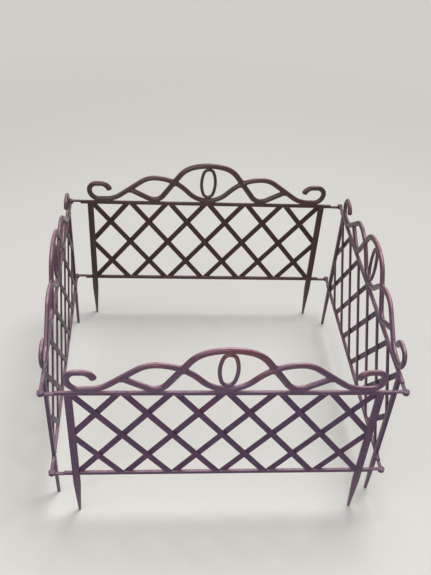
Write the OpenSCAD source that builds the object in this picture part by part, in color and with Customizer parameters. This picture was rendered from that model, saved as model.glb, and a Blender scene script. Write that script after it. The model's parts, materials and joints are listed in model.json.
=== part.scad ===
/* [Panel] */
// distance between the two pivots of one panel
panel_span = 610; // [560:5:700]
// distance from a pivot to the middle of the nearest leg
leg_inset = 43.6; // [38:0.2:50]
// clear height between the two rails
rail_gap = 195; // [160:1:230]
// underside of the bottom rail above the spike tips
ground_height = 104.5; // [80:0.5:130]
// number of lattice bays between the legs
bay_count = 6; // [4:1:8]

/* [Rails and legs] */
// height of a rail
rail_height = 7; // [6:0.5:12]
// depth of a rail
rail_depth = 6; // [5:0.5:10]
// width of a leg
leg_width = 13; // [10:0.5:16]
// thickness of a leg
leg_thick = 6; // [4:0.5:8]
// height at which the spike starts to narrow
spike_height = 78; // [50:1:80]
// width of the blunt spike tip
spike_tip = 4; // [3:0.5:6]

/* [Lattice strips] */
// width of a strip
strip_width = 11; // [6:0.5:14]
// thickness of a strip
strip_thick = 3; // [2:0.25:4]
// depth past the face of a rail at which two strips would meet
strip_dive = 8; // [4:0.5:12]

/* [Hinges] */
// distance from a pivot to the full height rail
hinge_reach = 22; // [20:0.5:26]
// outer diameter of an eye
eye_dia = 12; // [11:0.5:14]
// vertical clearance between tongue and eye
hinge_gap = 0.4; // [0.3:0.05:1]
// diameter of a hinge pin
pin_dia = 6; // [5:0.25:7]
// radial clearance of the pin in its eye
pin_clear = 0.06; // [0.05:0.01:0.1]
// length of pin below the eye, rounded end included
pin_tail = 3.6; // [3:0.1:6]

/* [Scroll bars] */
// diameter of the scroll bar
scroll_dia = 11.25; // [8:0.25:11.5]
// diameter of the arch bar
arch_dia = 12; // [11.75:0.25:14]
// diameter of the ring bar
ring_dia = 7; // [5:0.25:8]
// depth of the weld bite where bars touch
weld_bite = 0.2; // [0.1:0.05:0.4]
// height of the weld beads that join the bent lengths
bead_rise = 0.15; // [0.1:0.05:0.3]

/* [Scroll shape] */
// outer end of the flat top of the curl from the panel middle
curl_x = 246.5; // [242:0.5:250]
// radius of the upper side of the curl
curl_r = 15.5; // [13:0.5:18]
// radius of the lower side of the curl
curl_low_r = 21; // [18:0.5:24]
// length of the flat top of the curl
curl_flat = 9.5; // [6:0.5:12]
// radius of the opened end of the curl
tip_r = 20; // [17:0.5:24]
// angle of the opened end of the curl
tip_turn = 66; // [40:1:75]
// centre of the outer trough from the panel middle
trough_x = 228; // [222:0.5:232]
// radius of the outer trough
trough_r = 60; // [50:1:66]
// small crest from the panel middle
crest_x = 119; // [115:0.5:123]
// centreline height of the small crest above the rail
crest_rise = 58; // [54:0.5:62]
// radius of the outer side of the small crest
crest_outer_r = 50; // [44:1:56]
// radius of the inner side of the small crest
crest_inner_r = 100; // [94:1:106]
// length of the straight between the small crest and the middle trough
fall_length = 10; // [5:0.5:20]

/* [Arch shape] */
// centreline height of the arch above the rail
arch_rise = 89.5; // [85:0.5:94]
// radius of the arch crown
crown_r = 125; // [115:1:135]
// angle from the middle to the end of the crown
crown_turn = 16; // [10:1:18]
// radius of the arch shoulder
shoulder_r = 55; // [50:1:60]
// foot of the arch from the panel middle
foot_x = 119; // [116:0.5:122]
// radius of the inner side of the foot
foot_inner_r = 24; // [19:1:28]
// radius of the outer side of the foot
foot_outer_r = 34; // [28:1:40]
// slope of the arch lead
lead_slope = 27; // [23:1:30]
// half width of the oval ring
ring_half = 15.2; // [13:0.1:18]
// radius of the ring ends
ring_end_r = 11.5; // [8:0.25:12.5]

/* [Hidden] */
$fn = 48;
steel = [0.19, 0.14, 0.14];
eps = 0.5;
half_span = panel_span / 2;
leg_x = half_span - leg_inset;
pitch = 2 * leg_x / bay_count;
rail_low = ground_height;
gap_low = rail_low + rail_height;
gap_high = gap_low + rail_gap;
rail_top = gap_high + rail_height;
row_low = gap_low - strip_dive;
row_high = gap_high + strip_dive;
row_rise = row_high - row_low;
scroll_rad = scroll_dia / 2;
arch_rad = arch_dia / 2;
ring_rad = ring_dia / 2;
foot_z = rail_top + scroll_rad - weld_bite;
arch_foot_z = rail_top + arch_rad - weld_bite;
crest_z = rail_top + crest_rise;
crest_drop = crest_z - foot_z;
middle_r = (pow(crest_x, 2) + pow(crest_drop, 2) - pow(fall_length, 2)) / (2 * crest_drop)
    - crest_inner_r;
arch_z = rail_top + arch_rise;
lap = (rail_height - hinge_gap) / 2;
hole_rad = pin_dia / 2 + pin_clear;

curl_z = foot_z + curl_low_r;
curl_top = curl_z + curl_r;
curl_c = [-curl_x, curl_z];
low_c = [-curl_x - curl_r + curl_low_r, curl_z];
tip_c = [-curl_x + curl_flat, curl_top - tip_r];
trough_c = [-trough_x, foot_z + trough_r];
outer_c = [-crest_x, crest_z - crest_outer_r];
inner_c = [-crest_x, crest_z - crest_inner_r];
middle_c = [0, foot_z + middle_r];
rise_turn = heading(trough_c, trough_r, outer_c, -crest_outer_r);
fall_turn = -heading(inner_c, -crest_inner_r, middle_c, middle_r);
rise_from = leave(trough_c, trough_r, rise_turn);
rise_to = leave(outer_c, -crest_outer_r, rise_turn);
fall_from = leave(inner_c, -crest_inner_r, -fall_turn);
fall_to = leave(middle_c, middle_r, -fall_turn);
tip_join = [tip_c[0], curl_top];
top_join = [-curl_x, curl_top];
side_join = [-curl_x - curl_r, curl_z];
low_join = [low_c[0], foot_z];
trough_join = [-trough_x, foot_z];
crest_join = [-crest_x, crest_z];

crown_c = [0, arch_z - crown_r];
shoulder_c = crown_c + (crown_r - shoulder_r) * [-sin(crown_turn), cos(crown_turn)];
foot_c = [-foot_x, arch_foot_z + foot_inner_r];
heel_c = [-foot_x, arch_foot_z + foot_outer_r];
climb_turn = heading(foot_c, foot_inner_r, shoulder_c, -shoulder_r);
climb_from = leave(foot_c, foot_inner_r, climb_turn);
climb_to = leave(shoulder_c, -shoulder_r, climb_turn);
crown_join = crown_c + crown_r * [-sin(crown_turn), cos(crown_turn)];
foot_join = [-foot_x, arch_foot_z];
lead_from = leave(heel_c, foot_outer_r, -lead_slope);
lead_to = meet(lead_from, 180 - lead_slope, rise_from, rise_turn);
cross_p = exit_point(climb_from, climb_turn, inner_c, crest_inner_r);
cross_a = atan2(cross_p[1] - inner_c[1], cross_p[0] - inner_c[0]);

ring_top = arch_z - arch_rad - ring_rad + weld_bite;
ring_bottom = foot_z + scroll_rad + ring_rad - weld_bite;
ring_z = (ring_top + ring_bottom) / 2;
ring_tall = (ring_top - ring_bottom) / 2;
ring_reach = ring_tall - ring_end_r;
ring_side_r = (pow(ring_half, 2) + pow(ring_reach, 2) - pow(ring_end_r, 2))
    / (2 * (ring_half - ring_end_r));
ring_turn = atan2(ring_reach, ring_side_r - ring_half);
ring_join = [ring_end_r * cos(ring_turn), ring_reach + ring_end_r * sin(ring_turn)];

// direction of the straight run that is tangent to two arcs, left turns positive
function heading(a, ra, b, rb) =
    atan2(b[1] - a[1], b[0] - a[0]) - asin((rb - ra) / norm(b - a));
// point where a run with heading h leaves an arc, left turns positive
function leave(c, r, h) = c + r * [sin(h), -cos(h)];
// crossing of two straight runs
function meet(p, hp, q, hq) =
    p + [cos(hp), sin(hp)] * ((q[0] - p[0]) * sin(hq) - (q[1] - p[1]) * cos(hq))
    / (cos(hp) * sin(hq) - sin(hp) * cos(hq));
// point where a run that starts inside a circle leaves it
function exit_point(p, h, c, r) =
    let (d = [cos(h), sin(h)], b = (p - c) * d)
    p + d * (sqrt(b * b - (p - c) * (p - c) + r * r) - b);

// round bar bent to an arc in the plane of the panel
module bend(c, r, from, to, rad) {
    translate([c[0], 0, c[1]])
        rotate([90, 0, 0])
            rotate([0, 0, from])
                rotate_extrude(angle = to - from)
                    translate([r, 0])
                        circle(rad);
}

// straight round bar in the plane of the panel
module run(a, b, rad) {
    turn = atan2(b[0] - a[0], b[1] - a[1]);
    translate([a[0], 0, a[1]])
        rotate([0, turn, 0])
            cylinder(r = rad, h = norm(b - a));
}

// weld bead round a joint between two lengths of bar that run at a heading
module bead(p, turn, rad) {
    translate([p[0], 0, p[1]])
        rotate([0, 90 - turn, 0])
            sphere(rad + bead_rise);
}

// one side of the square, counted from the front towards the right
module side(index) {
    color(steel)
        rotate([0, 0, 90 * index])
            translate([0, -half_span, 0])
                children();
}

// plain rail bar between the hinge ends
module rail_bar(low) {
    translate([-half_span + hinge_reach, -rail_depth / 2, low])
        cube([panel_span - 2 * hinge_reach, rail_depth, rail_height]);
}

module top_rail() {
    rail_bar(gap_high);
}

// bottom rail in three lengths that butt against the legs
module bottom_rail() {
    difference() {
        rail_bar(rail_low);
        for (x = [-leg_x, leg_x])
            translate([x - leg_width / 2, -rail_depth / 2 - eps, rail_low - eps])
                cube([leg_width, rail_depth + 2 * eps, rail_height + 2 * eps]);
    }
}

// flat bar leg with a blunt spike
module leg(x) {
    translate([x, leg_thick / 2, 0])
        rotate([90, 0, 0])
            linear_extrude(leg_thick)
                polygon([
                    [-spike_tip / 2, 0],
                    [spike_tip / 2, 0],
                    [leg_width / 2, spike_height],
                    [leg_width / 2, gap_high],
                    [-leg_width / 2, gap_high],
                    [-leg_width / 2, spike_height]
                ]);
}

// seven parallel strips trimmed to the window inside the legs and rails
module strips() {
    slope = atan2(row_rise, 2 * pitch);
    reach = norm([row_rise, 2 * pitch]);
    intersection() {
        for (k = [-1 : bay_count - 1])
            translate([-leg_x + k * pitch, 0, row_low])
                rotate([0, -slope, 0])
                    translate([-reach / 4, 0, -strip_width / 2])
                        cube([reach * 1.5, strip_thick, strip_width]);
        translate([-leg_x + leg_width / 2, -eps, gap_low])
            cube([2 * leg_x - leg_width, strip_thick + 2 * eps, rail_gap]);
    }
}

module rising_strips() {
    strips();
}

// the falling strips lie on the outer side
module falling_strips() {
    translate([0, -strip_thick, 0])
        mirror([1, 0, 0])
            strips();
}

// curl, trough and small crest, coped where it meets the arch bar
module left_scroll() {
    difference() {
        union() {
            bend(tip_c, tip_r, 90 - tip_turn, 90, scroll_rad);
            run(top_join, tip_join, scroll_rad);
            bend(curl_c, curl_r, 90, 180, scroll_rad);
            bend(low_c, curl_low_r, 180, 270, scroll_rad);
            run(low_join, trough_join, scroll_rad);
            bend(trough_c, trough_r, 270, 270 + rise_turn, scroll_rad);
            run(rise_from, rise_to, scroll_rad);
            bend(outer_c, crest_outer_r, 90, 90 + rise_turn, scroll_rad);
            bend(inner_c, crest_inner_r, cross_a, 90, scroll_rad);
            bead(side_join, 90, scroll_rad);
            for (p = [tip_join, top_join, low_join, trough_join, crest_join])
                bead(p, 0, scroll_rad);
            for (p = [rise_from, rise_to])
                bead(p, rise_turn, scroll_rad);
        }
        run(climb_from, climb_to, arch_rad);
    }
}

module right_scroll() {
    mirror([1, 0, 0])
        left_scroll();
}

// shallow bow between the two crossings, coped to the arch bar at both ends
module middle_bow() {
    difference() {
        union() {
            bend(middle_c, middle_r, 270 - fall_turn, 270 + fall_turn, scroll_rad);
            for (s = [0, 1])
                mirror([s, 0, 0]) {
                    run(fall_from, fall_to, scroll_rad);
                    bend(inner_c, crest_inner_r, 90 - fall_turn, cross_a, scroll_rad);
                    bead(fall_from, -fall_turn, scroll_rad);
                    bead(fall_to, -fall_turn, scroll_rad);
                }
        }
        for (s = [0, 1])
            mirror([s, 0, 0])
                run(climb_from, climb_to, arch_rad);
    }
}

// one continuous arch with its two feet, its leads cut flat against the scrolls
module arch_bar() {
    bend(crown_c, crown_r, 90 - crown_turn, 90 + crown_turn, arch_rad);
    for (s = [0, 1])
        mirror([s, 0, 0]) {
            bend(shoulder_c, shoulder_r, 90 + crown_turn, 90 + climb_turn, arch_rad);
            run(climb_from, climb_to, arch_rad);
            bend(foot_c, foot_inner_r, 270, 270 + climb_turn, arch_rad);
            bend(heel_c, foot_outer_r, 270 - lead_slope, 270, arch_rad);
            bead(crown_join, crown_turn, arch_rad);
            bead(climb_to, climb_turn, arch_rad);
            bead(climb_from, climb_turn, arch_rad);
            bead(foot_join, 0, arch_rad);
            bead(lead_from, -lead_slope, arch_rad);
            difference() {
                run(lead_from, lead_to, arch_rad);
                translate([lead_to[0], -arch_dia, lead_to[1]])
                    rotate([0, -rise_turn, 0])
                        translate([-4 * arch_dia, 0, weld_bite - scroll_rad])
                            cube([8 * arch_dia, 2 * arch_dia, 4 * arch_dia]);
            }
        }
}

// oval ring from four tangent arcs
module oval_ring() {
    for (s = [0, 1])
        mirror([s, 0, 0]) {
            bend([ring_half - ring_side_r, ring_z], ring_side_r, -ring_turn, ring_turn, ring_rad);
            for (t = [-1, 1])
                bead([ring_join[0], ring_z + t * ring_join[1]], 90 + t * ring_turn, ring_rad);
        }
    bend([0, ring_z + ring_reach], ring_end_r, ring_turn, 180 - ring_turn, ring_rad);
    bend([0, ring_z - ring_reach], ring_end_r, 180 + ring_turn, 360 - ring_turn, ring_rad);
}

// half height tongue that ends in a round about the pivot
module lap_plate() {
    translate([-hinge_reach, -rail_depth / 2, 0])
        cube([hinge_reach, rail_depth, lap]);
    cylinder(d = eye_dia, h = lap);
}

// tongue with a hanging pin at the right end of both rails
module hinge_pins() {
    for (low = [rail_low, gap_high])
        translate([half_span, 0, low]) {
            translate([0, 0, rail_height - lap])
                lap_plate();
            translate([0, 0, pin_dia / 2 - pin_tail])
                cylinder(d = pin_dia, h = pin_tail - pin_dia / 2 + rail_height - lap);
            translate([0, 0, pin_dia / 2 - pin_tail])
                sphere(d = pin_dia);
        }
}

// eye plate at the left end of both rails
module hinge_eyes() {
    for (low = [rail_low, gap_high])
        translate([-half_span, 0, low])
            mirror([1, 0, 0])
                difference() {
                    lap_plate();
                    translate([0, 0, -eps])
                        cylinder(r = hole_rad, h = lap + 2 * eps);
                }
}

module front_top_rail() {
    side(0)
        top_rail();
}

module front_bottom_rail() {
    side(0)
        bottom_rail();
}

module front_left_leg() {
    side(0)
        leg(-leg_x);
}

module front_right_leg() {
    side(0)
        leg(leg_x);
}

module front_rising_strips() {
    side(0)
        rising_strips();
}

module front_falling_strips() {
    side(0)
        falling_strips();
}

module front_left_scroll() {
    side(0)
        left_scroll();
}

module front_right_scroll() {
    side(0)
        right_scroll();
}

module front_middle_bow() {
    side(0)
        middle_bow();
}

module front_arch_bar() {
    side(0)
        arch_bar();
}

module front_oval_ring() {
    side(0)
        oval_ring();
}

module front_hinge_pins() {
    side(0)
        hinge_pins();
}

module front_hinge_eyes() {
    side(0)
        hinge_eyes();
}

module right_top_rail() {
    side(1)
        top_rail();
}

module right_bottom_rail() {
    side(1)
        bottom_rail();
}

module right_left_leg() {
    side(1)
        leg(-leg_x);
}

module right_right_leg() {
    side(1)
        leg(leg_x);
}

module right_rising_strips() {
    side(1)
        rising_strips();
}

module right_falling_strips() {
    side(1)
        falling_strips();
}

module right_left_scroll() {
    side(1)
        left_scroll();
}

module right_right_scroll() {
    side(1)
        right_scroll();
}

module right_middle_bow() {
    side(1)
        middle_bow();
}

module right_arch_bar() {
    side(1)
        arch_bar();
}

module right_oval_ring() {
    side(1)
        oval_ring();
}

module right_hinge_pins() {
    side(1)
        hinge_pins();
}

module right_hinge_eyes() {
    side(1)
        hinge_eyes();
}

module back_top_rail() {
    side(2)
        top_rail();
}

module back_bottom_rail() {
    side(2)
        bottom_rail();
}

module back_left_leg() {
    side(2)
        leg(-leg_x);
}

module back_right_leg() {
    side(2)
        leg(leg_x);
}

module back_rising_strips() {
    side(2)
        rising_strips();
}

module back_falling_strips() {
    side(2)
        falling_strips();
}

module back_left_scroll() {
    side(2)
        left_scroll();
}

module back_right_scroll() {
    side(2)
        right_scroll();
}

module back_middle_bow() {
    side(2)
        middle_bow();
}

module back_arch_bar() {
    side(2)
        arch_bar();
}

module back_oval_ring() {
    side(2)
        oval_ring();
}

module back_hinge_pins() {
    side(2)
        hinge_pins();
}

module back_hinge_eyes() {
    side(2)
        hinge_eyes();
}

module left_top_rail() {
    side(3)
        top_rail();
}

module left_bottom_rail() {
    side(3)
        bottom_rail();
}

module left_left_leg() {
    side(3)
        leg(-leg_x);
}

module left_right_leg() {
    side(3)
        leg(leg_x);
}

module left_rising_strips() {
    side(3)
        rising_strips();
}

module left_falling_strips() {
    side(3)
        falling_strips();
}

module left_left_scroll() {
    side(3)
        left_scroll();
}

module left_right_scroll() {
    side(3)
        right_scroll();
}

module left_middle_bow() {
    side(3)
        middle_bow();
}

module left_arch_bar() {
    side(3)
        arch_bar();
}

module left_oval_ring() {
    side(3)
        oval_ring();
}

module left_hinge_pins() {
    side(3)
        hinge_pins();
}

module left_hinge_eyes() {
    side(3)
        hinge_eyes();
}

front_top_rail();
front_bottom_rail();
front_left_leg();
front_right_leg();
front_rising_strips();
front_falling_strips();
front_left_scroll();
front_right_scroll();
front_middle_bow();
front_arch_bar();
front_oval_ring();
front_hinge_pins();
front_hinge_eyes();
right_top_rail();
right_bottom_rail();
right_left_leg();
right_right_leg();
right_rising_strips();
right_falling_strips();
right_left_scroll();
right_right_scroll();
right_middle_bow();
right_arch_bar();
right_oval_ring();
right_hinge_pins();
right_hinge_eyes();
back_top_rail();
back_bottom_rail();
back_left_leg();
back_right_leg();
back_rising_strips();
back_falling_strips();
back_left_scroll();
back_right_scroll();
back_middle_bow();
back_arch_bar();
back_oval_ring();
back_hinge_pins();
back_hinge_eyes();
left_top_rail();
left_bottom_rail();
left_left_leg();
left_right_leg();
left_rising_strips();
left_falling_strips();
left_left_scroll();
left_right_scroll();
left_middle_bow();
left_arch_bar();
left_oval_ring();
left_hinge_pins();
left_hinge_eyes();
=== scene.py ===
import json
import math

import bmesh
import bpy
from mathutils import Matrix, Vector


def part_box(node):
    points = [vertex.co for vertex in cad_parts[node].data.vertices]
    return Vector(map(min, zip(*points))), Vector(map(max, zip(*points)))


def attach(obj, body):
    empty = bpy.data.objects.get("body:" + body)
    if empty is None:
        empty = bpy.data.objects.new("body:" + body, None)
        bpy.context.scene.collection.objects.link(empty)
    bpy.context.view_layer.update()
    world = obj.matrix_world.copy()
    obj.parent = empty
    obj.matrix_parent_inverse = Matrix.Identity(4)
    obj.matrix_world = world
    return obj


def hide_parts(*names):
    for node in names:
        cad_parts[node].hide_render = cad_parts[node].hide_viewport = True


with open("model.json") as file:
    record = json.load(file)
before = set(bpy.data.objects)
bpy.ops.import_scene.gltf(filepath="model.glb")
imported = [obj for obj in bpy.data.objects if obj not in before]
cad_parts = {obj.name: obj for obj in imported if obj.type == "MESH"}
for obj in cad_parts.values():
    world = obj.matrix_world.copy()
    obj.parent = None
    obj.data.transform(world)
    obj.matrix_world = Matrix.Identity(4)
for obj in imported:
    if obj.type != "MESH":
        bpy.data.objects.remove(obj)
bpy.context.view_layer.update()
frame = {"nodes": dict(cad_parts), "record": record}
print("frame loaded,", len(frame["nodes"]), "solids")

mm = 0.001
scene = bpy.context.scene
# four lattice panels with scrolled tops, pinned together in a square, and the degrees each is turned by
sideTurns = {"front": 0, "right": 90, "back": 180, "left": 270}
slots = {subpart["node"]: subpart["material_slot"] for subpart in frame["record"]["subparts"]}

# what every piece of a panel keeps to, in mm; rails and legs are read from the solids of the front panel
topLow, topHigh = [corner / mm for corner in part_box("front_top_rail")]
bottomLow, bottomHigh = [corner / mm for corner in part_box("front_bottom_rail")]
legLow, legHigh = [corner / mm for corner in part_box("front_right_leg")]
panel = {
    "out": -(topLow.y + topHigh.y) / 2,  # from the middle of the square to the panel
    "railTop": topHigh.z, "railUnder": topLow.z, "lowTop": bottomHigh.z, "lowUnder": bottomLow.z,
    "railEnd": topHigh.x, "railHalf": (topHigh.y - topLow.y) / 2,
    "legX": (legLow.x + legHigh.x) / 2, "legHalf": (legHigh.x - legLow.x) / 2,
    "bays": 6, "stripWide": 11, "stripThick": 3,
    "stripDive": 8,  # depth past the face of a rail at which two strips would meet
}


# sRGB hex to linear
def linear(hexColour):
    parts = [int(hexColour[i:i + 2], 16) / 255 for i in (1, 3, 5)]
    return [p / 12.92 if p <= 0.04045 else ((p + 0.055) / 1.055) ** 2.4 for p in parts] + [1]


# adds one node, with its properties or inputs set and its inputs linked
def addNode(tree, kind, settings=None, links=None):
    node = tree.nodes.new("ShaderNode" + kind)
    for name, value in (settings or {}).items():
        if isinstance(name, int) or name in node.inputs:
            node.inputs[name].default_value = value
        else:
            setattr(node, name, value)
    for name, socket in (links or {}).items():
        tree.links.new(socket, node.inputs[name])
    return node


# polyester powder coat, sprayed and oven cured over a red oxide primer: a satin purple brown with a faint
# orange peel, redder where the sun has faded it, painted shade that makes the far side browner and darker,
# dusty on top with a painted highlight, earthy low down, and rubbed to a red primer that is partly a painted
# highlight
def powderCoat(name, roughness, shine, edgeRubAndHighlight, topRubAndHighlight, dustAndHighlight, dents=0):
    look = {
        # sizes, depths and places are in mm, and shares run from 0 to 1
        # the coat itself fades in clouds, more so between two heights, and painted shade makes it browner and
        # darker towards the far side
        "shaded": "#4f3954", "faded": "#64343d", "cloudSize": 75, "cloudFrom": 0.4, "cloudTo": 0.7,
        "fadeFrom": 290, "fadeTo": 405, "fadeLeast": -0.25, "fadeMost": 0.1,
        # the far-side colour is painted shade: it darkens and browns the far panels
        "farSideShade": "#45322a", "farShadeFrom": -200, "farShadeTo": 300, "farShadeMost": 0.9,
        "mottled": "#33232c", "mottleSize": 10, "mottleFrom": 0.42, "mottleTo": 0.75, "mottleMost": 0.65,
        # earth up to a height, and pale dust with a painted highlight on faces that are more level than the
        # dust and highlight From value
        "soil": "#75656a", "soilHeight": 120, "soilMost": 0.9,
        "dustAndHighlight": "#cba8b9", "dustAndHighlightFrom": 0.65, "farDustAndHighlight": 0.35, "dustDulls": 0.12,
        "patchFrom": 0.35, "patchTo": 0.6, "patchLeast": 0.45,
        # primer where an edge turns away and on tops that are level enough, broken up into chips; its red is
        # partly wear and partly a painted highlight
        "primerAndHighlight": "#84483f", "edgeRadius": 1.2, "edgeFrom": 0.99, "edgeTo": 0.84, "topFrom": 0.4,
        "topTo": 0.9, "chipSize": 5, "chipFrom": 0.42, "chipTo": 0.6, "chipDepth": 0.08, "chipStrength": 0.7,
        "peelSize": 2.6,  # the real peel is about 1 mm, drawn coarser so that it shows
        "peelDepth": 0.08, "peelStrength": 0.6, "dentSize": 14, "dentStrength": 0.8,
        # the roughness wanders with the mottles, from a little glossier to a little duller
        "glossFrom": 0.3, "glossTo": 0.7, "glossier": 0.05, "duller": 0.07,
    }
    material = bpy.data.materials.new(name)
    material.use_nodes = True
    tree = material.node_tree
    tree.nodes.clear()
    place = addNode(tree, "TexCoord").outputs["Object"]
    spot = addNode(tree, "SeparateXYZ", links={0: place})
    normal = addNode(tree, "NewGeometry").outputs["Normal"]
    level = addNode(tree, "SeparateXYZ", links={0: normal}).outputs["Z"]

    cloud = addNode(tree, "TexNoise", {"Scale": 1 / (look["cloudSize"] * mm), "Detail": 3}, {"Vector": place})
    mottle = addNode(tree, "TexNoise", {"Scale": 1 / (look["mottleSize"] * mm), "Detail": 4,
                                        "Roughness": 0.6}, {"Vector": place}).outputs["Fac"]
    chips = addNode(tree, "TexNoise", {"Scale": 1 / (look["chipSize"] * mm), "Detail": 5,
                                       "Roughness": 0.65}, {"Vector": place})
    peel = addNode(tree, "TexNoise", {"Scale": 1 / (look["peelSize"] * mm), "Detail": 2}, {"Vector": place})

    # faded towards red higher up in uneven clouds, painted shade that makes the far side browner and darker,
    # darker in mottles
    height = addNode(tree, "MapRange", {"From Min": look["fadeFrom"] * mm, "From Max": look["fadeTo"] * mm,
                                        "To Min": look["fadeLeast"], "To Max": look["fadeMost"]},
                     {"Value": spot.outputs["Z"]})
    cloudy = addNode(tree, "Math", {"operation": "ADD"}, {0: cloud.outputs["Fac"], 1: height.outputs[0]})
    fadedShare = addNode(tree, "MapRange", {"From Min": look["cloudFrom"], "From Max": look["cloudTo"]},
                         {"Value": cloudy.outputs[0]}).outputs[0]
    farSideShadeShare = addNode(tree, "MapRange", {"From Min": look["farShadeFrom"] * mm,
                                            "From Max": look["farShadeTo"] * mm, "To Max": look["farShadeMost"]},
                         {"Value": spot.outputs["Y"]}).outputs[0]
    mottleShare = addNode(tree, "MapRange", {"From Min": look["mottleFrom"], "From Max": look["mottleTo"],
                                             "To Max": look["mottleMost"]}, {"Value": mottle}).outputs[0]

    # earth splashed up from the lawn, thinning with height
    nearGround = addNode(tree, "MapRange", {"From Min": look["soilHeight"] * mm, "From Max": 0,
                                            "To Max": look["soilMost"]}, {"Value": spot.outputs["Z"]})
    soilShare = addNode(tree, "Math", {"operation": "MULTIPLY"},
                        {0: nearGround.outputs[0], 1: mottle}).outputs[0]

    # fine pale dust with a painted pink highlight on whatever faces up, mostly on the near side, so the far
    # side keeps its painted shade
    dustAndHighlightOnTop = addNode(tree, "MapRange", {"interpolation_type": "SMOOTHSTEP", "From Min": look["dustAndHighlightFrom"],
                                         "To Max": dustAndHighlight}, {"Value": level})
    patches = addNode(tree, "MapRange", {"From Min": look["patchFrom"], "From Max": look["patchTo"],
                                         "To Min": look["patchLeast"]}, {"Value": mottle})
    patchy = addNode(tree, "Math", {"operation": "MULTIPLY"}, {0: dustAndHighlightOnTop.outputs[0], 1: patches.outputs[0]})
    nearSide = addNode(tree, "MapRange", {"To Min": 1, "To Max": look["farDustAndHighlight"]}, {"Value": farSideShadeShare})
    dustAndHighlightShare = addNode(tree, "Math", {"operation": "MULTIPLY"},
                        {0: patchy.outputs[0], 1: nearSide.outputs[0]}).outputs[0]

    # rubbed through to the primer along sharp edges, and in patches on top of the bars; this red is partly
    # wear and partly a painted highlight
    softened = addNode(tree, "Bevel", {"samples": 4, "Radius": look["edgeRadius"] * mm})
    facing = addNode(tree, "VectorMath", {"operation": "DOT_PRODUCT"},
                     {0: softened.outputs["Normal"], 1: normal})
    edge = addNode(tree, "MapRange", {"From Min": look["edgeFrom"], "From Max": look["edgeTo"],
                                      "To Max": edgeRubAndHighlight}, {"Value": facing.outputs["Value"]})
    top = addNode(tree, "MapRange", {"From Min": look["topFrom"], "From Max": look["topTo"],
                                     "To Max": topRubAndHighlight}, {"Value": level})
    wornAndHighlit = addNode(tree, "Math", {"operation": "MAXIMUM"}, {0: edge.outputs[0], 1: top.outputs[0]})
    chipped = addNode(tree, "MapRange", {"From Min": look["chipFrom"], "From Max": look["chipTo"]},
                      {"Value": chips.outputs["Fac"]})
    rubAndHighlightShare = addNode(tree, "Math", {"operation": "MULTIPLY"},
                       {0: wornAndHighlit.outputs[0], 1: chipped.outputs[0]}).outputs[0]

    # each colour lies by its share over the ones before it, and the first over the shaded coat
    layers = {"faded": fadedShare, "farSideShade": farSideShadeShare, "mottled": mottleShare, "soil": soilShare,
              "dustAndHighlight": dustAndHighlightShare, "primerAndHighlight": rubAndHighlightShare}
    under = {}
    for colour, share in layers.items():
        shade = addNode(tree, "Mix", {"data_type": "RGBA", 6: linear(look["shaded"]),
                                      7: linear(look[colour])}, {"Factor": share, **under})
        under = {6: shade.outputs[2]}

    bumps = addNode(tree, "Bump", {"Strength": look["peelStrength"], "Distance": look["peelDepth"] * mm},
                    {"Height": peel.outputs["Fac"]})
    bumps = addNode(tree, "Bump", {"Strength": look["chipStrength"], "Distance": look["chipDepth"] * mm,
                                   "invert": True}, {"Height": rubAndHighlightShare, "Normal": bumps.outputs[0]})
    if dents:
        hollows = addNode(tree, "TexNoise", {"Scale": 1 / (look["dentSize"] * mm), "Detail": 1},
                          {"Vector": place})
        bumps = addNode(tree, "Bump", {"Strength": look["dentStrength"], "Distance": dents * mm},
                        {"Height": hollows.outputs["Fac"], "Normal": bumps.outputs[0]})
    gloss = addNode(tree, "MapRange", {"From Min": look["glossFrom"], "From Max": look["glossTo"],
                                       "To Min": roughness - look["glossier"],
                                       "To Max": roughness + look["duller"]}, {"Value": mottle})
    dulled = addNode(tree, "Math", {"operation": "MULTIPLY_ADD", 1: look["dustDulls"]},
                     {0: dustAndHighlightShare, 2: gloss.outputs[0]})
    shader = addNode(tree, "BsdfPrincipled", {"IOR": 1.5, "Specular IOR Level": shine},
                     {"Base Color": shade.outputs[2], "Roughness": dulled.outputs[0],
                      "Normal": bumps.outputs[0]})
    addNode(tree, "OutputMaterial", links={"Surface": shader.outputs[0]})
    return material


# rubbing and dust, each partly a painted highlight, run from 0 to 1, and dents are in mm
coats = {
    "rail_coat": powderCoat("satinPowderCoatFlatBar", roughness=0.35, shine=0.3,
                            edgeRubAndHighlight=0.6, topRubAndHighlight=0.3, dustAndHighlight=0.5),
    "strip_coat": powderCoat("satinPowderCoatStrip", roughness=0.4, shine=0.15,
                             edgeRubAndHighlight=0.5, topRubAndHighlight=0.2, dustAndHighlight=0.55),
    "scroll_coat": powderCoat("satinPowderCoatBentBar", roughness=0.23, shine=0.42,
                              edgeRubAndHighlight=0, topRubAndHighlight=0.5, dustAndHighlight=0.85, dents=0.3),
    "hinge_coat": powderCoat("satinPowderCoatHinge", roughness=0.38, shine=0.3,
                             edgeRubAndHighlight=0.45, topRubAndHighlight=0.1, dustAndHighlight=0.3),
}
weldCoat = powderCoat("satinPowderCoatWeld", roughness=0.46, shine=0.4,
                      edgeRubAndHighlight=0, topRubAndHighlight=0.4, dustAndHighlight=0.5, dents=0.15)
for node, slot in slots.items():
    frame["nodes"][node].data.materials.clear()
    frame["nodes"][node].data.materials.append(coats[slot])
print("coats mixed")


# from the drawing of one panel, in mm about its middle, to its place in the square
def toPlace(bm, side):
    place = (Matrix.Rotation(math.radians(sideTurns[side]), 4, "Z")
             @ Matrix.Translation((0, -panel["out"] * mm, 0)) @ Matrix.Scale(mm, 4))
    bmesh.ops.transform(bm, matrix=place, verts=bm.verts)
    return bm


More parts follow.
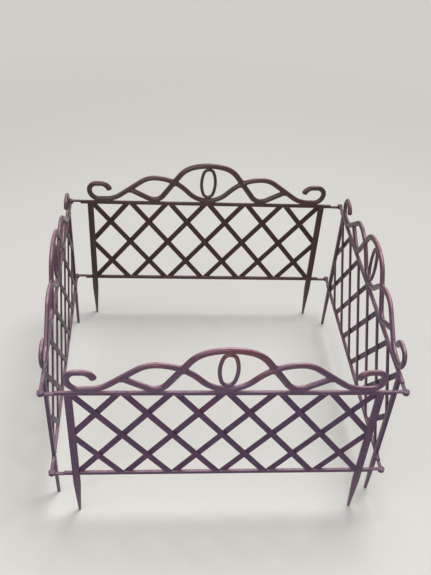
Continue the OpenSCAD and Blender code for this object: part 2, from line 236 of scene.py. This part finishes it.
# makes the piece, smooth but for its sharp edges, and hangs it on its panel
def finishPiece(name, bm, side, coat, replaced=()):
    look = {"sharpFrom": 40}
    for face in bm.faces:
        face.smooth = True
    for edge in bm.edges:
        edge.smooth = edge.is_manifold and edge.calc_face_angle() < math.radians(look["sharpFrom"])
    mesh = bpy.data.meshes.new(name)
    bm.to_mesh(mesh)
    bm.free()
    mesh.materials.append(coat)
    piece = bpy.data.objects.new(name, mesh)
    scene.collection.objects.link(piece)
    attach(piece, side)
    if replaced:
        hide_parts(*replaced)


# flat bars: the solid's own shape, its flat faces made whole and its long edges rolled over
def flatBar(node, radius):
    look = {"merge": 0.002, "flatUnder": 0.1, "roundOver": 35, "segments": 3}
    bm = bmesh.new()
    bm.from_mesh(frame["nodes"][node].data)
    bmesh.ops.remove_doubles(bm, verts=bm.verts, dist=look["merge"] * mm)
    bmesh.ops.dissolve_limit(bm, angle_limit=math.radians(look["flatUnder"]), verts=bm.verts, edges=bm.edges)
    sharp = [e for e in bm.edges if e.is_manifold and e.calc_face_angle() > math.radians(look["roundOver"])]
    bmesh.ops.bevel(bm, geom=sharp, offset=radius * mm, offset_type="OFFSET", segments=look["segments"],
                    profile=0.5, affect="EDGES", material=-1, clamp_overlap=True)
    return bm


# how far the edges of each kind are rolled over, in mm
edgeRadii = {
    "top_rail": 1.0, "bottom_rail": 1.0, "left_leg": 0.9, "right_leg": 0.9, "rising_strips": 0.6,
    "falling_strips": 0.6, "hinge_pins": 0.6, "hinge_eyes": 0.6,
}
for side in sideTurns:
    for kind, radius in edgeRadii.items():
        node = side + "_" + kind
        finishPiece(node + "_bar", flatBar(node, radius), side, coats[slots[node]], [node])
print("flat bars rounded")


# heading in degrees of the straight run that touches two bends, whose radius is positive for a left turn
def tangentHeading(centreA, radiusA, centreB, radiusB):
    gap = centreB - centreA
    return math.degrees(math.atan2(gap.y, gap.x) - math.asin((radiusB - radiusA) / gap.length))


# unit vector of a heading
def along(heading):
    return Vector((math.cos(math.radians(heading)), math.sin(math.radians(heading))))


# point where a run with that heading leaves a bend
def leaving(centre, radius, heading):
    return centre + radius * along(heading - 90)


# crossing of two straight runs
def crossing(p, headingP, q, headingQ):
    u, w, gap = along(headingP), along(headingQ), q - p
    return p + u * (gap.x * w.y - gap.y * w.x) / (u.x * w.y - u.y * w.x)


def mirrored(point):
    return Vector((-point.x, point.y))


# centrelines of the crest, in mm from the middle of the panel and up from the lawn, as in the solids
crest = {
    "scrollWide": 11.25, "archWide": 12, "ringWide": 7,  # bar widths in the plane of the panel
    "scrollDeep": 8.4, "archDeep": 8.8, "ringDeep": 6.2,  # the bars are oval, flatter from front to back
    "bite": 0.2,  # how far bars that touch are sunk into each other
    # the curl and its blunt tip, which swells by a share down to a depth below the curl's middle
    "curlX": 246.5, "curlRadius": 15.5, "curlLowRadius": 21, "curlFlat": 9.5,
    "tipRadius": 20, "tipTurn": 66, "tipDome": 4.2, "tipSwell": 0.16, "swellBelow": 5,
    # the trough, the small crest and the bow between the crossings
    "troughX": 228, "troughRadius": 60, "crestX": 119, "crestRise": 58,
    "outerRadius": 50, "innerRadius": 100, "middleRadius": 60,
    # the arch, its feet and its leads, which stop short of the middle of the scroll by leadShort
    "archRise": 89.5, "crownRadius": 125, "crownTurn": 16, "shoulderRadius": 55,
    "footX": 119, "instepRadius": 24, "heelRadius": 34, "leadSlope": 27, "leadShort": 2.5,
    "ringHalf": 15.2, "ringEndRadius": 11.5,
}
scrollZ = panel["railTop"] + crest["scrollWide"] / 2 - crest["bite"]
archZ = panel["railTop"] + crest["archWide"] / 2 - crest["bite"]
crownZ = panel["railTop"] + crest["archRise"]

# middles of the bends of the left scroll and the bow
curl = Vector((-crest["curlX"], scrollZ + crest["curlLowRadius"]))
curlLow = Vector((curl.x - crest["curlRadius"] + crest["curlLowRadius"], curl.y))
tip = Vector((curl.x + crest["curlFlat"], curl.y + crest["curlRadius"] - crest["tipRadius"]))
trough = Vector((-crest["troughX"], scrollZ + crest["troughRadius"]))
outer = Vector((-crest["crestX"], panel["railTop"] + crest["crestRise"] - crest["outerRadius"]))
inner = Vector((outer.x, panel["railTop"] + crest["crestRise"] - crest["innerRadius"]))
middle = Vector((0, scrollZ + crest["middleRadius"]))
riseTurn = tangentHeading(trough, crest["troughRadius"], outer, -crest["outerRadius"])
fallTurn = -tangentHeading(inner, -crest["innerRadius"], middle, crest["middleRadius"])
riseTo = leaving(outer, -crest["outerRadius"], riseTurn)
fallTo = leaving(middle, crest["middleRadius"], -fallTurn)

# middles of the bends of the arch, and its straight runs
crown = Vector((0, crownZ - crest["crownRadius"]))
shoulder = crown + (crest["crownRadius"] - crest["shoulderRadius"]) * along(90 + crest["crownTurn"])
instep = Vector((-crest["footX"], archZ + crest["instepRadius"]))
heel = Vector((-crest["footX"], archZ + crest["heelRadius"]))
climbTurn = tangentHeading(instep, crest["instepRadius"], shoulder, -crest["shoulderRadius"])
climbFrom = leaving(instep, crest["instepRadius"], climbTurn)
climbTo = leaving(shoulder, -crest["shoulderRadius"], climbTurn)
leadFrom = leaving(heel, crest["heelRadius"], -crest["leadSlope"])
leadTo = crossing(leadFrom, -crest["leadSlope"], riseTo, riseTurn)
leadEnd = leadTo + crest["leadShort"] * along(-crest["leadSlope"])

# where the climbing run of the arch crosses the falling side of the small crest
reach = (climbFrom - inner).dot(along(climbTurn))
cross = climbFrom + along(climbTurn) * (
    math.sqrt(reach ** 2 - (climbFrom - inner).length_squared + crest["innerRadius"] ** 2) - reach)
crossHeading = math.degrees(math.atan2(cross.y - inner.y, cross.x - inner.x)) - 90

# the ring fills the height between the bow and the crown
ringTop = crownZ - (crest["archWide"] + crest["ringWide"]) / 2 + crest["bite"]
ringLow = scrollZ + (crest["scrollWide"] + crest["ringWide"]) / 2 - crest["bite"]
ringZ = (ringTop + ringLow) / 2
ringReach = (ringTop - ringLow) / 2 - crest["ringEndRadius"]
ringSide = (crest["ringHalf"] ** 2 + ringReach ** 2 - crest["ringEndRadius"] ** 2) / (
    2 * (crest["ringHalf"] - crest["ringEndRadius"]))
ringTurn = math.degrees(math.atan2(ringReach, ringSide - crest["ringHalf"]))


# the next ring of a swept bar, stretched by a factor about a centre and moved on by a vector
def nextRing(bm, ring, centre, factor, move):
    made = bmesh.ops.extrude_edge_only(bm, edges=ring)["geom"]
    verts = [v for v in made if isinstance(v, bmesh.types.BMVert)]
    for vert in verts:
        vert.co = centre + (vert.co - centre) * factor + move
    edges = [e for e in made if isinstance(e, bmesh.types.BMEdge) and all(v in verts for v in e.verts)]
    return verts, edges


# closes a ring with a dome, or flat where the dome has no height
def closeRing(bm, ring, point, heading, dome):
    look = {"steps": 5}
    if not dome:
        bmesh.ops.contextual_create(bm, geom=ring)
        return
    centre, out = Vector((point.x, 0, point.y)), Vector((along(heading).x, 0, along(heading).y))
    quarter = [math.radians(90 * k / look["steps"]) for k in range(look["steps"] + 1)]
    for low, high in zip(quarter, quarter[1:]):
        move = out * dome * (math.sin(high) - math.sin(low))
        verts, ring = nextRing(bm, ring, centre, math.cos(high) / math.cos(low), move)
        centre = centre + move
    bmesh.ops.pointmerge(bm, verts=verts, merge_co=centre)


# sweeps an oval bar; each step of its route is a bend's centre and left turn, or the end of a straight run
def bentBar(wide, deep, start, heading, route, domes=(0, 0)):
    look = {"around": 20, "spacing": 3}
    bm = bmesh.new()
    bmesh.ops.create_circle(bm, segments=look["around"], radius=0.5, cap_ends=False)
    place = (Matrix.Translation((start.x, 0, start.y)) @ Matrix.Rotation(math.radians(90 - heading), 4, "Y")
             @ Matrix.Diagonal((wide, deep, 1, 1)))
    bmesh.ops.transform(bm, matrix=place, verts=bm.verts)
    ring = first = bm.edges[:]
    point, startHeading = start, heading
    for step in route:
        if isinstance(step, tuple):
            centre, turn = step
            length = (point - centre).length * math.radians(abs(turn))
            made = bmesh.ops.spin(bm, geom=ring, cent=(centre.x, 0, centre.y), axis=(0, -1, 0),
                                  angle=math.radians(turn), steps=max(2, round(length / look["spacing"])))
            ring = [e for e in made["geom_last"] if isinstance(e, bmesh.types.BMEdge)]
            point = centre + Matrix.Rotation(math.radians(turn), 2) @ (point - centre)
            heading += turn
        else:
            move = Vector((step.x - point.x, 0, step.y - point.y))
            ring = nextRing(bm, ring, Vector(), 1, move)[1]
            point = step
    if (point - start).length < crest["bite"]:
        bmesh.ops.remove_doubles(bm, verts=bm.verts, dist=crest["bite"])
    else:
        closeRing(bm, first, start, startHeading + 180, domes[0])
        closeRing(bm, ring, point, heading, domes[1])
    bmesh.ops.recalc_face_normals(bm, faces=bm.faces)
    return bm


# curl, trough and small crest, from the curl's blunt tip to where it runs into the arch
def scrollBar(mirror=False):
    start = tip + crest["tipRadius"] * along(90 - crest["tipTurn"])
    route = [
        (tip, crest["tipTurn"]), Vector((curl.x, curl.y + crest["curlRadius"])), (curl, 90), (curlLow, 90),
        Vector((trough.x, scrollZ)), (trough, riseTurn), riseTo, (outer, -riseTurn), (inner, crossHeading),
    ]
    bm = bentBar(crest["scrollWide"], crest["scrollDeep"], start, 180 - crest["tipTurn"], route,
                 (crest["tipDome"], 0))
    for vert in bm.verts:  # the end of the curl is upset to a fuller, blunt tip
        spot = Vector((vert.co.x, vert.co.z))
        angle = math.degrees(math.atan2(spot.y - tip.y, spot.x - tip.x))
        share = min(1, (90 - angle) / crest["tipTurn"])
        nearTip = (spot - tip).length < crest["tipRadius"] + crest["scrollWide"]
        if share > 0 and nearTip and spot.y > curl.y - crest["swellBelow"]:
            swell = 1 + crest["tipSwell"] * share
            axis = tip + crest["tipRadius"] * along(angle)
            spot = axis + (spot - axis) * swell
            vert.co = (spot.x, vert.co.y * swell, spot.y)
    if mirror:
        bmesh.ops.transform(bm, matrix=Matrix.Diagonal((-1, 1, 1, 1)), verts=bm.verts)
        bmesh.ops.recalc_face_normals(bm, faces=bm.faces)
    return bm


# shallow bow between the two crossings
def middleBow():
    route = [
        (inner, -fallTurn - crossHeading), fallTo, (middle, 2 * fallTurn),
        leaving(mirrored(inner), -crest["innerRadius"], fallTurn),
        (mirrored(inner), -fallTurn - crossHeading),
    ]
    return bentBar(crest["scrollWide"], crest["scrollDeep"], cross, crossHeading, route)


# the arch with its feet on the rail and its leads run out against the scrolls
def archBar():
    toCrown = climbTurn - crest["crownTurn"]
    route = [
        leadFrom, (heel, crest["leadSlope"]), (instep, climbTurn), climbTo, (shoulder, -toCrown),
        (crown, -2 * crest["crownTurn"]), (mirrored(shoulder), -toCrown), mirrored(climbFrom),
        (mirrored(instep), climbTurn), (mirrored(heel), crest["leadSlope"]), mirrored(leadEnd),
    ]
    return bentBar(crest["archWide"], crest["archDeep"], leadEnd, -crest["leadSlope"], route,
                   (crest["leadShort"], crest["leadShort"]))


# upright ring of two tight ends and two flatter sides
def ovalRing():
    top, low = Vector((0, ringZ + ringReach)), Vector((0, ringZ - ringReach))
    flank = Vector((ringSide - crest["ringHalf"], ringZ))
    route = [
        (top, 90 - ringTurn), (flank, 2 * ringTurn), (low, 180 - 2 * ringTurn),
        (mirrored(flank), 2 * ringTurn), (top, 90 - ringTurn),
    ]
    return bentBar(crest["ringWide"], crest["ringDeep"], Vector((0, ringTop)), 180, route)


for side in sideTurns:
    bars = {"left_scroll": scrollBar(), "right_scroll": scrollBar(True), "middle_bow": middleBow(),
            "arch_bar": archBar(), "oval_ring": ovalRing()}
    for kind, bm in bars.items():
        node = side + "_" + kind
        finishPiece(node + "_bar", toPlace(bm, side), side, coats[slots[node]], [node])
print("crest bars bent")


# a long rippled bead of weld along a seam; without a heading it lies through the panel
def addBead(bm, place, heading, length, across, deep):
    look = {"around": 10, "ringSpacing": 0.7, "fewestRings": 8, "mostRings": 36,
            "rippleSpacing": 1.9, "rippleDepth": 0.07}
    rings = min(look["mostRings"], max(look["fewestRings"], round(length / look["ringSpacing"])))
    bead = bmesh.ops.create_uvsphere(bm, u_segments=look["around"], v_segments=rings, radius=0.5)["verts"]
    for vert in bead:
        swell = 1 + look["rippleDepth"] * math.sin(2 * math.pi * vert.co.z * length / look["rippleSpacing"])
        vert.co.x *= swell
        vert.co.y *= swell
    lie = Matrix.Rotation(math.radians(90), 4, "X")
    if heading is not None:
        lie = Matrix.Rotation(math.radians(90 - heading), 4, "Y")
    stretched = Matrix.Translation(place) @ lie @ Matrix.Diagonal((across, deep, length, 1))
    bmesh.ops.transform(bm, matrix=stretched, verts=bead)


# welds of the lower frame: strip ends, legs and the shoulders of the hinge tongues
def frameWelds():
    look = {
        "stripBead": 1.9, "legBead": 2.2, "shoulderBead": 2.4,  # thicknesses
        "stripSink": 0.15, "stripShare": 0.86,  # sunk into the strip's face, along a share of the seam
        "legShort": 1, "endShort": 0.6,  # how much shorter than their seams the other beads are
        "halfGap": 0.2,  # from the middle of a rail's height to the face of its tongue or eye plate
    }
    bm = bmesh.new()
    bottom, top = panel["lowTop"], panel["railUnder"]
    inside = panel["legX"] - panel["legHalf"]
    pitch = 2 * panel["legX"] / panel["bays"]
    climb = (top - bottom + 2 * panel["stripDive"]) / 2  # rise of a strip over one bay
    slope = math.atan2(climb, pitch)
    low, high = panel["stripDive"] / climb, 2 - panel["stripDive"] / climb  # at the two rails, in bays
    size = look["stripBead"]
    for k in range(-1, panel["bays"]):
        start = Vector((-panel["legX"] + k * pitch, bottom - panel["stripDive"]))
        toLeft, toRight = (-inside - start.x) / pitch, (inside - start.x) / pitch
        for share, atLeg in ((max(low, toLeft), toLeft > low), (min(high, toRight), toRight < high)):
            seam = panel["stripWide"] / (math.cos(slope) if atLeg else math.sin(slope))
            end = start + share * Vector((pitch, climb))
            for flip in (1, -1):  # rising strips lie inside, falling ones outside
                for face in (0, flip * panel["stripThick"]):
                    addBead(bm, (flip * end.x, face - math.copysign(look["stripSink"], face), end.y),
                            90 if atLeg else 0, seam * look["stripShare"], size, size)

    size = look["legBead"]
    for x in (-panel["legX"], panel["legX"]):
        for y in (-panel["railHalf"], panel["railHalf"]):
            addBead(bm, (x, y, top), 0, 2 * panel["legHalf"] - look["legShort"], size, size)
            for edge in (-panel["legHalf"], panel["legHalf"]):
                addBead(bm, (x + edge, y, (bottom + panel["lowUnder"]) / 2), 90,
                        bottom - panel["lowUnder"] - look["endShort"], size, size)

    size = look["shoulderBead"]
    halfTall = (bottom - panel["lowUnder"]) / 2
    for under in (panel["lowUnder"], panel["railUnder"]):
        for end in (-1, 1):
            addBead(bm, (end * panel["railEnd"], 0, under + halfTall + end * look["halfGap"]), None,
                    2 * panel["railHalf"] - look["endShort"], size, size)
    return bm


# welds of the crest: feet on the rail, the ring, the crossings and the ends of the leads
def crestWelds():
    look = {
        "feet": [(-231, 40), (-119, 25), (0, 34)],  # place along the rail and length, in mm
        "footRise": 0.9, "footTall": 4.8, "footDeep": 7.2,
        "ringSeam": 13, "ringTall": 3.4, "ringDeep": 5,
        "crotchLong": 6.4, "crotchWide": 6.2,
        "crotchIn": 0.84,  # share of the way from the middles of the bars to the crotch between them
    }
    bm = bmesh.new()
    footZ = panel["railTop"] + look["footRise"]
    for x, length in look["feet"] + [(-x, length) for x, length in look["feet"] if x]:
        addBead(bm, (x, 0, footZ), 0, length, look["footTall"], look["footDeep"])
    for z in (ringTop + crest["ringWide"] / 2, ringLow - crest["ringWide"] / 2):
        addBead(bm, (0, 0, z), 0, look["ringSeam"], look["ringTall"], look["ringDeep"])

    # where two bars meet: the point, the two headings, and which ways along the first bar there are beads
    meetings = [
        (cross, climbTurn, crossHeading, (1, -1)), (leadTo, -crest["leadSlope"], riseTurn, (1,)),
    ]
    for point, first, second, ways in meetings:
        alongFirst, alongSecond = along(first), along(second)
        sine = alongFirst.x * alongSecond.y - alongFirst.y * alongSecond.x
        for firstWay in ways:
            for secondWay in (-1, 1):
                # where the flank of one bar meets the flank of the other
                corner = (alongFirst * firstWay * crest["scrollWide"]
                          + alongSecond * secondWay * crest["archWide"]) / 2 / abs(sine)
                spot = point + corner * look["crotchIn"]
                turn = math.degrees(math.atan2(corner.y, corner.x))
                for flip in (1, -1):
                    addBead(bm, (flip * spot.x, 0, spot.y), turn if flip > 0 else 180 - turn,
                            look["crotchLong"], look["crotchWide"], look["crotchWide"])
    return bm


# pin ends hammered over into low mushroom heads on the upper tongues
def pinHeads():
    look = {
        "profile": [(0, 0.9), (1.5, 0.8), (2.6, 0.5), (3.3, 0.05), (3.2, -0.3), (0, -0.3)],  # radius, height
        "steps": 24, "merge": 0.01,
    }
    bm = bmesh.new()
    rise = panel["railTop"] - panel["railUnder"]
    for under in (panel["lowUnder"], panel["railUnder"]):
        centre = Vector((panel["out"], 0, under + rise))
        chain = [bm.verts.new(centre + Vector((r, 0, z))) for r, z in look["profile"]]
        lines = [bm.edges.new(pair) for pair in zip(chain, chain[1:])]
        bmesh.ops.spin(bm, geom=chain + lines, cent=centre, axis=(0, 0, 1), angle=2 * math.pi,
                       steps=look["steps"], use_merge=True)
    bmesh.ops.remove_doubles(bm, verts=bm.verts, dist=look["merge"])
    bmesh.ops.recalc_face_normals(bm, faces=bm.faces)
    return bm


for side in sideTurns:
    finishPiece(side + "_frame_welds", toPlace(frameWelds(), side), side, weldCoat)
    finishPiece(side + "_crest_welds", toPlace(crestWelds(), side), side, weldCoat)
    finishPiece(side + "_pin_heads", toPlace(pinHeads(), side), side, coats["hinge_coat"])
print("welds and pin heads added")


# the floor runs into the backdrop between these distances, in metres
backdrop = {"colour": "#d0cec9", "from": 0.75, "to": 2.3}


# 1 where the camera, a reflection or a refraction sees a surface, and 0 where it only lights others
def seenRays(tree):
    rays = addNode(tree, "LightPath")
    direct = addNode(tree, "Math", {"operation": "MAXIMUM"},
                     {0: rays.outputs["Is Camera Ray"], 1: rays.outputs["Is Glossy Ray"]})
    return addNode(tree, "Math", {"operation": "MAXIMUM"},
                   {0: direct.outputs[0], 1: rays.outputs["Is Transmission Ray"]}).outputs[0]


# matt studio paper: pale and even, so the dark bars read against it, and shadowless far from the object
def paperFloor():
    look = {"colour": "#d9d6cf", "size": 60, "roughness": 0.9, "shine": 0.2}
    bm = bmesh.new()
    bmesh.ops.create_grid(bm, x_segments=1, y_segments=1, size=look["size"] / 2)
    mesh = bpy.data.meshes.new("floor")
    bm.to_mesh(mesh)
    bm.free()
    floor = bpy.data.objects.new("floor", mesh)
    scene.collection.objects.link(floor)
    paper = bpy.data.materials.new("mattStudioPaper")
    paper.use_nodes = True
    tree = paper.node_tree
    tree.nodes.clear()
    place = addNode(tree, "TexCoord").outputs["Object"]
    distance = addNode(tree, "VectorMath", {"operation": "LENGTH"}, {0: place})
    far = addNode(tree, "MapRange", {"interpolation_type": "SMOOTHSTEP", "From Min": backdrop["from"],
                                     "From Max": backdrop["to"]}, {"Value": distance.outputs["Value"]})
    share = addNode(tree, "Math", {"operation": "MULTIPLY"}, {0: far.outputs[0], 1: seenRays(tree)})
    shader = addNode(tree, "BsdfPrincipled", {"Base Color": linear(look["colour"]),
                                              "Roughness": look["roughness"],
                                              "Specular IOR Level": look["shine"]})
    glow = addNode(tree, "Emission", {"Color": linear(backdrop["colour"]), "Strength": 1})
    mixed = addNode(tree, "MixShader", links={0: share.outputs[0], 1: shader.outputs[0], 2: glow.outputs[0]})
    addNode(tree, "OutputMaterial", links={"Surface": mixed.outputs[0]})
    mesh.materials.append(paper)


# a soft lamp that faces the middle of the square, unseen by the camera
def softbox(name, place, size, power):
    light = bpy.data.lights.new(name, "AREA")
    light.shape = "RECTANGLE"
    light.size, light.size_y = size
    light.energy = power
    lamp = bpy.data.objects.new(name, light)
    lamp.location = place
    lamp.rotation_euler = (-Vector(place)).to_track_quat("-Z", "Y").to_euler()
    lamp.visible_camera = False
    scene.collection.objects.link(lamp)


# a dim even sky that only lights, a plain wall that is seen, and three lamps
def studio():
    look = {
        "sky": "#eef1f6", "skyStrength": 0.42,
        "lamps": {  # place and size in metres, and power in watts
            "topBox": ((0.5, 0.6, 2.8), (1.1, 1.1), 50),
            "keyBox": ((-2.2, -1.4, 2.2), (1.6, 1.6), 16),
            "frontBox": ((-0.4, -1.75, 0.95), (1.2, 0.8), 12),
        },
    }
    world = bpy.data.worlds.new("studio")
    world.use_nodes = True
    tree = world.node_tree
    tree.nodes.clear()
    sky = addNode(tree, "Background", {"Color": linear(look["sky"]), "Strength": look["skyStrength"]})
    wall = addNode(tree, "Background", {"Color": linear(backdrop["colour"]), "Strength": 1})
    mixed = addNode(tree, "MixShader", links={0: seenRays(tree), 1: sky.outputs[0], 2: wall.outputs[0]})
    addNode(tree, "OutputWorld", links={"Surface": mixed.outputs[0]})
    scene.world = world
    for name, (place, size, power) in look["lamps"].items():
        softbox(name, place, size, power)


# seen from a little left of the middle, 43 degrees down
def camera():
    view = {
        "place": (-0.1233, -1.1796, 1.1659), "turn": (47.109, -3.326, -3.547),  # metres and degrees
        "sensor": 36, "lens": 46.373, "shiftY": 0.1522,
    }
    lens = bpy.data.cameras.new("camera")
    lens.sensor_fit = "AUTO"
    lens.sensor_width = view["sensor"]
    lens.lens = view["lens"]
    lens.shift_y = view["shiftY"]
    eye = bpy.data.objects.new("camera", lens)
    eye.location = view["place"]
    eye.rotation_euler = [math.radians(a) for a in view["turn"]]
    scene.collection.objects.link(eye)
    scene.camera = eye


paperFloor()
studio()
camera()
scene.view_settings.view_transform = "Standard"
print("studio ready")
